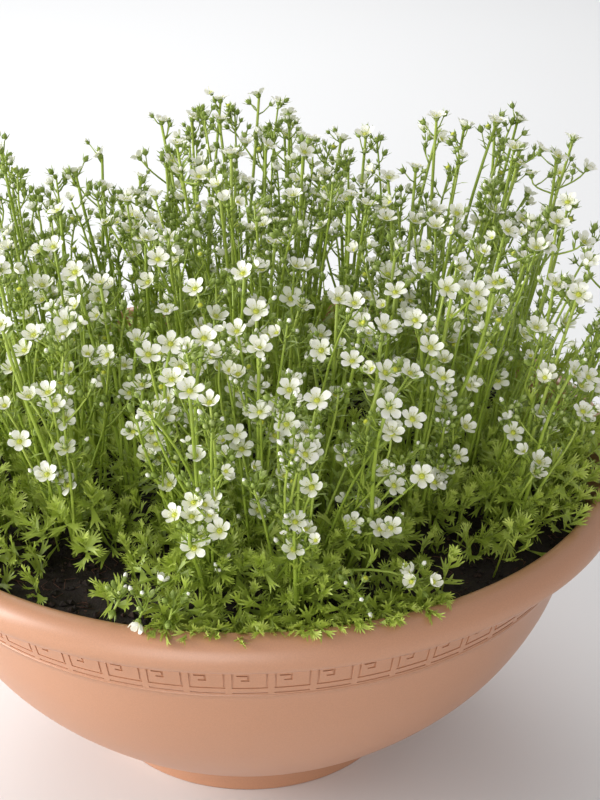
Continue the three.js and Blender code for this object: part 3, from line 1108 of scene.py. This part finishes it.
def petal(heap, heart, spin, angle, opening, size, rng):
    """One petal. opening is 1 for a flat flower and 0 for a closed one."""
    length = PETAL_REACH * rng.uniform(0.9, 1.04) - PETAL_START
    m, n = OPEN_GRID if opening > OPEN_FROM else CLOSED_GRID
    rows = np.linspace(0, 1, m)[:, None] ** 0.9
    sides = np.linspace(-1, 1, n)[None, :]
    swell = np.sin(np.pi / 2 * np.minimum(1, rows / PETAL_WIDEST))
    tip = np.sqrt(1 - (np.maximum(0, rows - PETAL_WIDEST) / (1.06 - PETAL_WIDEST)) ** 2)
    across = sides * PETAL_WIDTH * rng.uniform(0.9, 1.03) * (0.38 + 0.62 * swell) * tip
    reach = rows * length - rows**4 * (0.7 * sides**2 + 0.3 * np.exp(-((sides / 0.3) ** 2)))
    lift = lerp(1.5, 0.95, opening)
    bend = rows * lift - rows**2 * lift * lerp(0.3, 0.75, opening)
    out = reach * np.cos(bend) + PETAL_START
    rise = reach * np.sin(bend) + 0.16 * across**2 * lerp(0.9, 0.45, opening)
    rise = rise + 0.25 * np.sin(3.1 * sides + rng.uniform(0, TAU)) * rows**2
    cos, sin = math.cos(angle), math.sin(angle)
    points = np.stack([rise, out * cos - across * sin, out * sin + across * cos], -1)
    faces = [(k * n + i, k * n + i + 1, (k + 1) * n + i + 1, (k + 1) * n + i)
             for k in range(m - 1) for i in range(n - 1)]
    along = np.repeat(rows[:, 0], n)
    side_tone = np.tile(sides[0], m) * 0.5 + 0.5
    heap.add(points.reshape(-1, 3) * size @ spin.T + heart, faces, 0, side_tone, along)


def petals(heap, heart, axis, opening, size, turn, rng):
    spin = turn_matrix(axis, ASIDE)
    for k in range(5):
        angle = turn + (k + 0.5) * TAU / 5 + rng.uniform(-0.06, 0.06)
        petal(heap, heart, spin, angle, opening + rng.uniform(-0.08, 0.08), size, rng)


print("petals ready")

# %% [markdown]
# The middle of a flower is a yellow-green cushion with two short horns, and ten stamens round it:
# pale threads that end in small yellow heads.

# %% Flower hearts
HEART_RINGS = [(1.7, -0.5), (1.6, 0.2), (0.7, 0.6)]
HORN_RINGS = [(0.5, 0.3), (0.2, 1.7)]
ANTHER_RINGS = [(0.22, -0.2), (0.27, 0.3)]
STAMENS = 10
STAMEN_LENGTH = 2.3
STAMEN_RADII = (0.13, 0.1)
SHUT = 0.3


def flower_heart(heap, heart, axis, size, turn, opening, rng):
    profile(heap, heart, axis, HEART_RINGS, 8, 0, rng.random(), size)
    if opening < SHUT:
        return
    spin = turn_matrix(axis, ASIDE)
    for side in (-1, 1):
        lean = spin @ np.array([1, 0.28 * side * math.cos(turn), 0.28 * side * math.sin(turn)])
        profile(heap, heart, unit(lean), HORN_RINGS, 3, 0, 0.8, size, (0.9, 1.0))
    for k in range(STAMENS):
        angle = turn + k * TAU / STAMENS
        lean = lerp(0.35, 1.1, opening) * rng.uniform(0.6, 1.15)
        way = unit(spin @ np.array([1, lean * math.cos(angle), lean * math.sin(angle)]))
        base = heart + spin @ np.array([0.4, 1.5 * math.cos(angle), 1.5 * math.sin(angle)]) * size
        tip = base + way * STAMEN_LENGTH * size * rng.uniform(0.75, 1.0)
        tube(heap, [base, tip], STAMEN_RADII, 3, 1, 0.5)
        profile(heap, tip, way, ANTHER_RINGS, 3, 2, rng.random(), size)


print("hearts ready")

# %% [markdown]
# Close below its end a stem carries a spray: a cluster of short stalks, each with a narrow leaf at
# its foot, and with a bud, a half-open flower or a spent one at its tip. Chance picks the kind for
# each tip, which mixes them as on the real plant. Flowers lean out of the plant, and those at the
# front lean towards the light as well.

# %% Sprays
SPENT_SHARE = 0.05
HALF_OPEN_SHARE = 0.09
WHITE_BUD_SHARE = 0.3
CLUSTER = 16
WHITE_RINGS = [(1.2, 2.9), (1.1, 4.4), (0.2, 5.4)]
TO_THE_LIGHT = (0.36, 0.04)


class Plant:
    """The four heaps that one plant's pieces are made of"""

    def __init__(self):
        self.leaves, self.stems, self.petals, self.hearts = Heap(), Heap(), Heap(), Heap()
        self.blooms = self.buds = 0


def facing(place, tilt, rng):
    """Flowers lean out of the plant, and towards the light at the front"""
    out = np.array([*place[:2], 0]) / CANOPY_RADIUS
    turn = compass(rng.uniform(0, 0.5), TAU * rng.random())
    forward = lerp(*TO_THE_LIGHT, 0.5 + 0.5 * out[1])
    return unit(UP + 0.5 * tilt + compass(forward, 0) + 0.42 * out + turn)


def add_bloom(plant, heart, axis, opening, size, rng):
    turn = TAU * rng.random()
    petals(plant.petals, heart, axis, opening, size, turn, rng)
    flower_heart(plant.hearts, heart, axis, size, turn, opening, rng)
    flower_cup(plant.stems, heart, axis, rng.random(), size, turn)
    plant.blooms += 1


def add_tip(plant, place, axis, rng):
    """What ends a small stalk: a bud, a half-open flower or a spent one"""
    kind = rng.random()
    if kind < HALF_OPEN_SHARE:
        add_bloom(plant, place + axis * 3, axis, rng.uniform(0.0, 0.28), rng.uniform(0.6, 0.82), rng)
    elif kind < HALF_OPEN_SHARE + SPENT_SHARE:
        flower_cup(plant.stems, place + axis * 3, axis, 0.9, 1.0, TAU * rng.random(), 1.2)
        profile(plant.hearts, place + axis * 3, axis, HEART_RINGS, 6, 0, 0.1, 0.9, (0.0, 0.4))
    else:
        bud(plant.stems, place, axis, rng.random(), rng.uniform(0.75, 1.2))
        if kind > 1 - WHITE_BUD_SHARE:
            profile(plant.petals, place, axis, WHITE_RINGS, 5, 0, 0.5, 1.0, (0.6, 1.0))
        plant.buds += 1


def bracts(plant, base, azimuth, count, rng):
    """Narrow leaves where a stalk forks"""
    for k in range(count):
        way = compass(1, azimuth + k * TAU / count + rng.uniform(-0.5, 0.5)) + UP * rng.uniform(0.5, 1.3)
        narrow_leaf(plant.stems, base, unit(way), rng.uniform(5, 9.5), rng.uniform(1.2, 2.2), rng.random(), 1)


def spray(plant, path, count, reach, rng):
    """A cluster of small stalks close below the end of a stem, each with a narrow leaf at its foot"""
    length = np.linalg.norm(path[-1] - path[0])
    for _ in range(count):
        base = path_point(path, 1 - rng.uniform(0.2, CLUSTER) / length)
        azimuth = TAU * rng.random()
        axis = unit(compass(rng.uniform(0.5, 1.3), azimuth) + UP)
        end = base + axis * reach * rng.uniform(0.6, 1.4)
        way = bent([base, base + compass(0.3 * reach, azimuth), end - axis * 0.4 * reach, end], 2)
        tube(plant.stems, way, np.linspace(0.5, 0.42, 3), 3, 0, rng.random(), (0.7, 1))
        bracts(plant, base, azimuth, 1, rng)
        add_tip(plant, end, axis, rng)


def branch(plant, path, share, length, flower_share, rng):
    """A side stem that leaves at a fork, and ends in a flower or in a cluster of buds"""
    base = path_point(path, share)
    azimuth = TAU * rng.random()
    way = unit(compass(rng.uniform(0.35, 0.8), azimuth) + UP)
    end = base + way * length
    axis = facing(end, compass(0.5, azimuth), rng)
    line = bent([base, base + way * 0.3 * length + compass(2, azimuth), end - axis * 0.3 * length, end], 4)
    tube(plant.stems, line, np.linspace(0.66, 0.48, 5), 4, 0, rng.random(), (0.4, 1))
    bracts(plant, base, azimuth, 2, rng)
    if rng.random() < flower_share:
        add_bloom(plant, end + axis * 2.6, axis, rng.uniform(0.35, 1), rng.uniform(0.85, 1), rng)
        spray(plant, line, rng.randint(1, 3), 8, rng)
    else:
        add_tip(plant, end, axis, rng)
        spray(plant, line, rng.randint(3, 4), 6, rng)


print("spray helpers ready")

# %% [markdown]
# Now the stems themselves. Those of the plan carry the open flowers. Between them each tuft has some
# thinner stems, most of them with buds. At the back of the plant there are more buds and fewer open
# flowers, as in the photograph. At the front some stems stay short, and a few lie over the rim.

# %% Flowering stems
BUDDING_STEMS = 6
BUDDING_RADII = (1.0, 0.62)
BUDDING_DROP = 76
BACK_LINE = 40
FRONT_LINE = -95
LOW_STEMS = 7
BACK_FLOWERS = 0.16
FRONT_FLOWERS = 0.26
LOW_FLOWERS = 0.7
SHORT_SHARE = 0.4
SHORT_TOPS = (225, 300)
LOW_STEM_TOPS = (216, 300)
TRAILING_STEMS = [-17, -13, -9, 18, 27]


def flowering_stem(plant, stem, rng):
    """A stem of the plan, with its side flowers and a few buds"""
    axis = facing(stem["heart"], stem["tilt"], rng)
    path = stem_path(stem["foot"], stem["knee"], stem["heart"], axis, rng)
    tone = rng.random()
    tube(plant.stems, path, np.linspace(*STEM_RADII, len(path)), 6, 0, tone)
    add_bloom(plant, stem["heart"], axis, rng.uniform(0.45, 1.0), rng.uniform(0.92, 1.02), rng)
    for side in stem["sides"]:
        axis = facing(side["heart"], side["tilt"], rng)
        start = path[np.argmin(np.abs(path[:, 2] - stem["fork"][2]))]
        way = side_path(start, side["heart"] - axis * 2.4, axis)
        tube(plant.stems, way, np.linspace(*PEDICEL_RADII, len(way)), 5, 0, tone)
        bracts(plant, start, TAU * rng.random(), 2, rng)
        add_bloom(plant, side["heart"], axis, rng.uniform(0.35, 0.95), rng.uniform(0.88, 1.0), rng)
        spray(plant, way, rng.randint(1, 2), 7, rng)
    dress_stem(plant, path, rng.randint(8, 12), 3, rng)
    spray(plant, path, rng.randint(2, 4), 9, rng)
    if rng.random() < 0.35:
        branch(plant, path, rng.uniform(0.5, 0.75), rng.uniform(20, 34), 0.3, rng)


def budding_stem(plant, tuft, end, top, flower_share, rng):
    """A thinner stem between the others, with a cluster of buds and at times a flower"""
    foot = lerp(tuft.place, tuft.crown, rng.uniform(0, 0.6))
    foot = foot + compass(rng.uniform(0, 9), TAU * rng.random())
    foot[2] = tuft.ground + STEM_START
    heart = tuft.splayed(end, top)
    knee = lerp(foot, heart, 0.5) + 0.12 * (heart - foot) * [-1, -1, 0]
    axis = facing(heart, compass(rng.uniform(0.1, 0.5), TAU * rng.random()), rng)
    path = stem_path(foot, knee, heart, axis, rng)
    tube(plant.stems, path, np.linspace(*BUDDING_RADII, len(path)), 5, 0, rng.random())
    dress_stem(plant, path, rng.randint(8, 12), 3, rng)
    if rng.random() < flower_share:
        add_bloom(plant, heart, axis, rng.uniform(0.3, 0.95), rng.uniform(0.85, 1), rng)
        spray(plant, path, rng.randint(2, 3), 8, rng)
    else:
        add_tip(plant, path[-1], axis, rng)
        spray(plant, path, rng.randint(4, 6), 7, rng)
    if rng.random() < 0.5:
        branch(plant, path, rng.uniform(0.45, 0.8), rng.uniform(16, 34), flower_share, rng)


def trailing_stem(plant, degrees, rng):
    """A stem at the front that lies over the rim"""
    azimuth = math.radians(degrees)
    reach = rng.uniform(206, 214)
    path = bent([compass(165, 0.3 * azimuth) + UP * 186, compass(182, 0.6 * azimuth) + UP * 212,
                 compass(198, azimuth) + UP * 208, compass(reach, azimuth) + UP * (RIM_TOP + 6)])
    tube(plant.stems, path, np.linspace(0.95, 0.6, len(path)), 5, 0, rng.random())
    dress_stem(plant, path, 8, 3, rng)
    add_tip(plant, path[-1], unit(path[-1] - path[-2]), rng)
    spray(plant, path, 5, 7, rng)


def budding_stems(plant, tuft, rng):
    """The thinner stems of a tuft. At the front some are short, and lean out over the rim."""
    flower_share = BACK_FLOWERS if tuft.place[1] > BACK_LINE else FRONT_FLOWERS
    for _ in range(BUDDING_STEMS):
        direction = compass(1, TAU * rng.random())
        end = direction * min(tuft.room(direction, 4), 24) * math.sqrt(rng.random())
        apart = np.linalg.norm(tuft.place + end - tuft.crown) / CROWN_REACH
        top = tuft.top - CROWN_DOME * apart**2 - BUDDING_DROP * rng.random() - 4
        if tuft.radius > CROWN_SPACING and tuft.outward @ end > 0 and rng.random() < SHORT_SHARE:
            top = rng.uniform(*SHORT_TOPS)
        budding_stem(plant, tuft, end, top, flower_share, rng)
    if tuft.place[1] < FRONT_LINE:
        for _ in range(LOW_STEMS):
            end = 14 * tuft.outward * rng.random() + compass(12 * rng.random(), TAU * rng.random())
            budding_stem(plant, tuft, end, rng.uniform(*LOW_STEM_TOPS), LOW_FLOWERS, rng)


print("stems of a tuft", len(STEM_SPOTS) + BUDDING_STEMS, "and at the front", LOW_STEMS, "more")

# %% [markdown]
# The plants are put together in one fixed order, because every random number depends on how many were
# drawn before it. A low rosette goes to the plant whose tuft is nearest. What hangs over the rim
# belongs to the plants at the front and at the right.

# %% All plants together
PLANT_SEED = 17
FRONT_PLANT = 1
RIGHT_PLANT = 2

rng = random.Random(PLANT_SEED)
plants = [Plant() for _ in CROWN_TOPS]
for tuft in tufts:
    plant = plants[tuft.plant]
    cushion(plant.leaves, tuft, rng)
    for stem in tuft.stems:
        flowering_stem(plant, stem, rng)
    budding_stems(plant, tuft, rng)
for k in range(LOW_ROSETTES):
    place = compass(LOW_ROSETTE_EDGE * ((k + 0.5) / LOW_ROSETTES) ** 0.38, k * GOLDEN)
    if not is_bare(place):
        nearest = min(tufts, key=lambda tuft: np.linalg.norm(tuft.place - place))
        low_rosette(plants[nearest.plant].leaves, place, rng)
rosettes_along(plants[FRONT_PLANT].leaves, rim_rosette, RIM_ROSETTES, RIM_AZIMUTHS, rng)
rosettes_along(plants[RIGHT_PLANT].leaves, side_rosette, SIDE_ROSETTES, SIDE_AZIMUTHS, rng)
for degrees in TRAILING_STEMS:
    trailing_stem(plants[FRONT_PLANT], degrees, rng)
print("blooms", sum(plant.blooms for plant in plants), "buds", sum(plant.buds for plant in plants))

# %% [markdown]
# Leaves and petals are thin enough for light to come through. Their finish mixes a solid shader with
# a translucent one, which shows the light from behind in one plain colour. The colour of a leaf goes
# from a dark green of painted shade at its heart to a fresh green of painted light at its finger tips.
# Its tone differs at random from leaf to leaf, and is lower on the lower leaves of a rosette, which is
# painted shade under the younger leaves.

# %% Leaf and stem finishes
LEAF_SHADE_TO_LIGHT_GREENS = [(0.0, (0.15, 0.21, 0.022)), (0.45, (0.36, 0.46, 0.055)), (1.0, (0.64, 0.72, 0.18))]
STEM_GREENS = [(0.0, (0.19, 0.27, 0.028)), (0.5, (0.33, 0.44, 0.048)), (1.0, (0.48, 0.58, 0.11))]
BUD_GREENS = [(0.0, (0.15, 0.21, 0.025)), (0.55, (0.30, 0.40, 0.07)), (1.0, (0.58, 0.64, 0.28))]


def thin_finish(name, stops, amount, roughness, share, glow):
    """A finish for something thin: amount is a function that gives where on the ramp a point is"""
    finish = Finish(name)
    colour = finish.ramp(amount(finish), stops)
    fine = finish.grain(1800, 2)
    front = solid_finish(finish, colour, roughness, finish.bump(fine, 0.25, 0.0002))
    back = finish.node("ShaderNodeBsdfTranslucent", sockets={"Color": (*glow, 1)})
    mixed = finish.node("ShaderNodeMixShader", sockets={0: share, 1: front, 2: back})
    return finish.end(mixed)


# The leaf's green runs from dark to bright with its tone and with how far along the leaf a point is: painted
# shade at the heart of a leaf, painted light at its finger tips.
leaf_finish = thin_finish(
    "leaf_green", LEAF_SHADE_TO_LIGHT_GREENS,
    lambda f: 0.5 * f.attribute("tone") + 0.42 * f.attribute("along") + 0.35 * f.grain(90) - 0.16,
    0.45, 0.2, (0.44, 0.53, 0.06))
stem_finish = thin_finish(
    "stem_green", STEM_GREENS,
    lambda f: 0.45 * f.attribute("tone") + 0.3 * f.attribute("along") + 0.4 * f.grain(140) - 0.05,
    0.42, 0.12, (0.39, 0.51, 0.066))
bud_finish = thin_finish(
    "bud_green", BUD_GREENS,
    lambda f: 0.4 * f.attribute("tone") + 0.5 * f.attribute("along") + 0.3 * f.grain(300) - 0.1,
    0.5, 0.15, (0.335, 0.45, 0.073))
print("greens ready")

# %% [markdown]
# A petal is white, and thin green veins run up from its base. The tone of a petal's points says how
# far to the side they are, so the veins are a wave across the petal that fades towards the tip.

# %% Petal and heart finishes
HEART_GREENS = [(0.1, (0.20, 0.22, 0.01)), (0.5, (0.52, 0.56, 0.03)), (1.0, (0.66, 0.70, 0.10))]
THREAD_GREENS = [(0.0, (0.62, 0.70, 0.34)), (1.0, (0.80, 0.83, 0.60))]
ANTHER_YELLOWS = [(0.0, (0.62, 0.56, 0.12)), (1.0, (0.86, 0.82, 0.42))]
PETAL_WHITE = (0.98, 0.97, 0.87)
PETAL_BASE = (0.66, 0.70, 0.16)
PETAL_GLOW = 0.14
VEIN_WAVES = 38


def petal_finish():
    silk = Finish("petal_white")
    along, side = silk.attribute("along"), silk.attribute("tone")
    wave = silk.node("ShaderNodeMath", {"operation": "SINE"}, {0: VEIN_WAVES * side + 2.0 * along})
    vein = silk.node("ShaderNodeMath", {"operation": "MAXIMUM"}, {0: wave, 1: 0.0}) ** 3
    fade = silk.node("ShaderNodeMath", {"operation": "MAXIMUM"}, {0: 1 - 1.25 * along, 1: 0.0})
    green = 0.4 * vein * fade + 0.9 * fade**4
    amount = silk.node("ShaderNodeMath", {"operation": "MINIMUM"}, {0: green, 1: 1.0})
    colour = silk.mix(PETAL_WHITE, PETAL_BASE, amount)
    front = solid_finish(silk, colour, 0.5, silk.bump(vein, 0.3, 0.0002))
    back = silk.node("ShaderNodeBsdfTranslucent", sockets={"Color": (*PETAL_WHITE, 1)})
    return silk.end(silk.node("ShaderNodeMixShader", sockets={0: PETAL_GLOW, 1: front, 2: back}))


def plain_finish(name, stops, scale, roughness):
    finish = Finish(name)
    amount = 0.6 * finish.attribute("along") + 0.5 * finish.grain(scale)
    return finish.end(solid_finish(finish, finish.ramp(amount, stops), roughness))


heart_finish = plain_finish("heart_green", HEART_GREENS, 900, 0.35)
thread_finish = plain_finish("stamen_thread", THREAD_GREENS, 900, 0.5)
anther_finish = plain_finish("anther_yellow", ANTHER_YELLOWS, 2500, 0.7)
white_finish = petal_finish()
print("whites and yellows ready")

# %% [markdown]
# Each plant becomes four pieces: its leaves, its stems with the buds, its petals and the hearts of
# its flowers. All four stand for the seven solid tufts of that plant. Nothing may reach past the
# solid model's box, so a leaf tip that would is pushed back onto it.

# %% Plant pieces
EDGE = 0.0004
keep_in = [np.array(cad_box[0]) + [EDGE, EDGE, 0], np.array(cad_box[1]) - EDGE]


def finish_plant(number, plant):
    """Makes a plant's pieces and puts them in place of its tufts"""
    title = f"plant_{number + 1}"
    made = [
        plant.leaves.piece(f"{title}_leaves", [leaf_finish], False, keep_in),
        plant.stems.piece(f"{title}_stems", [stem_finish, bud_finish], True, keep_in),
        plant.petals.piece(f"{title}_petals", [white_finish], True, keep_in),
        plant.hearts.piece(f"{title}_hearts", [heart_finish, thread_finish, anther_finish], True, keep_in),
    ]
    nodes = [node_name(tuft) for tuft in tufts if tuft.plant == number]
    for piece, slot in zip(made, ("plant", "plant", "petal", "plant")):
        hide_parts(*nodes)
        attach(piece, "root")
    return made


pieces = [piece for number, plant in enumerate(plants) for piece in finish_plant(number, plant)]
counts = {piece.name: triangles(piece) for piece in pieces}
print("largest piece", max(counts.values()), "all plants", sum(counts.values()))
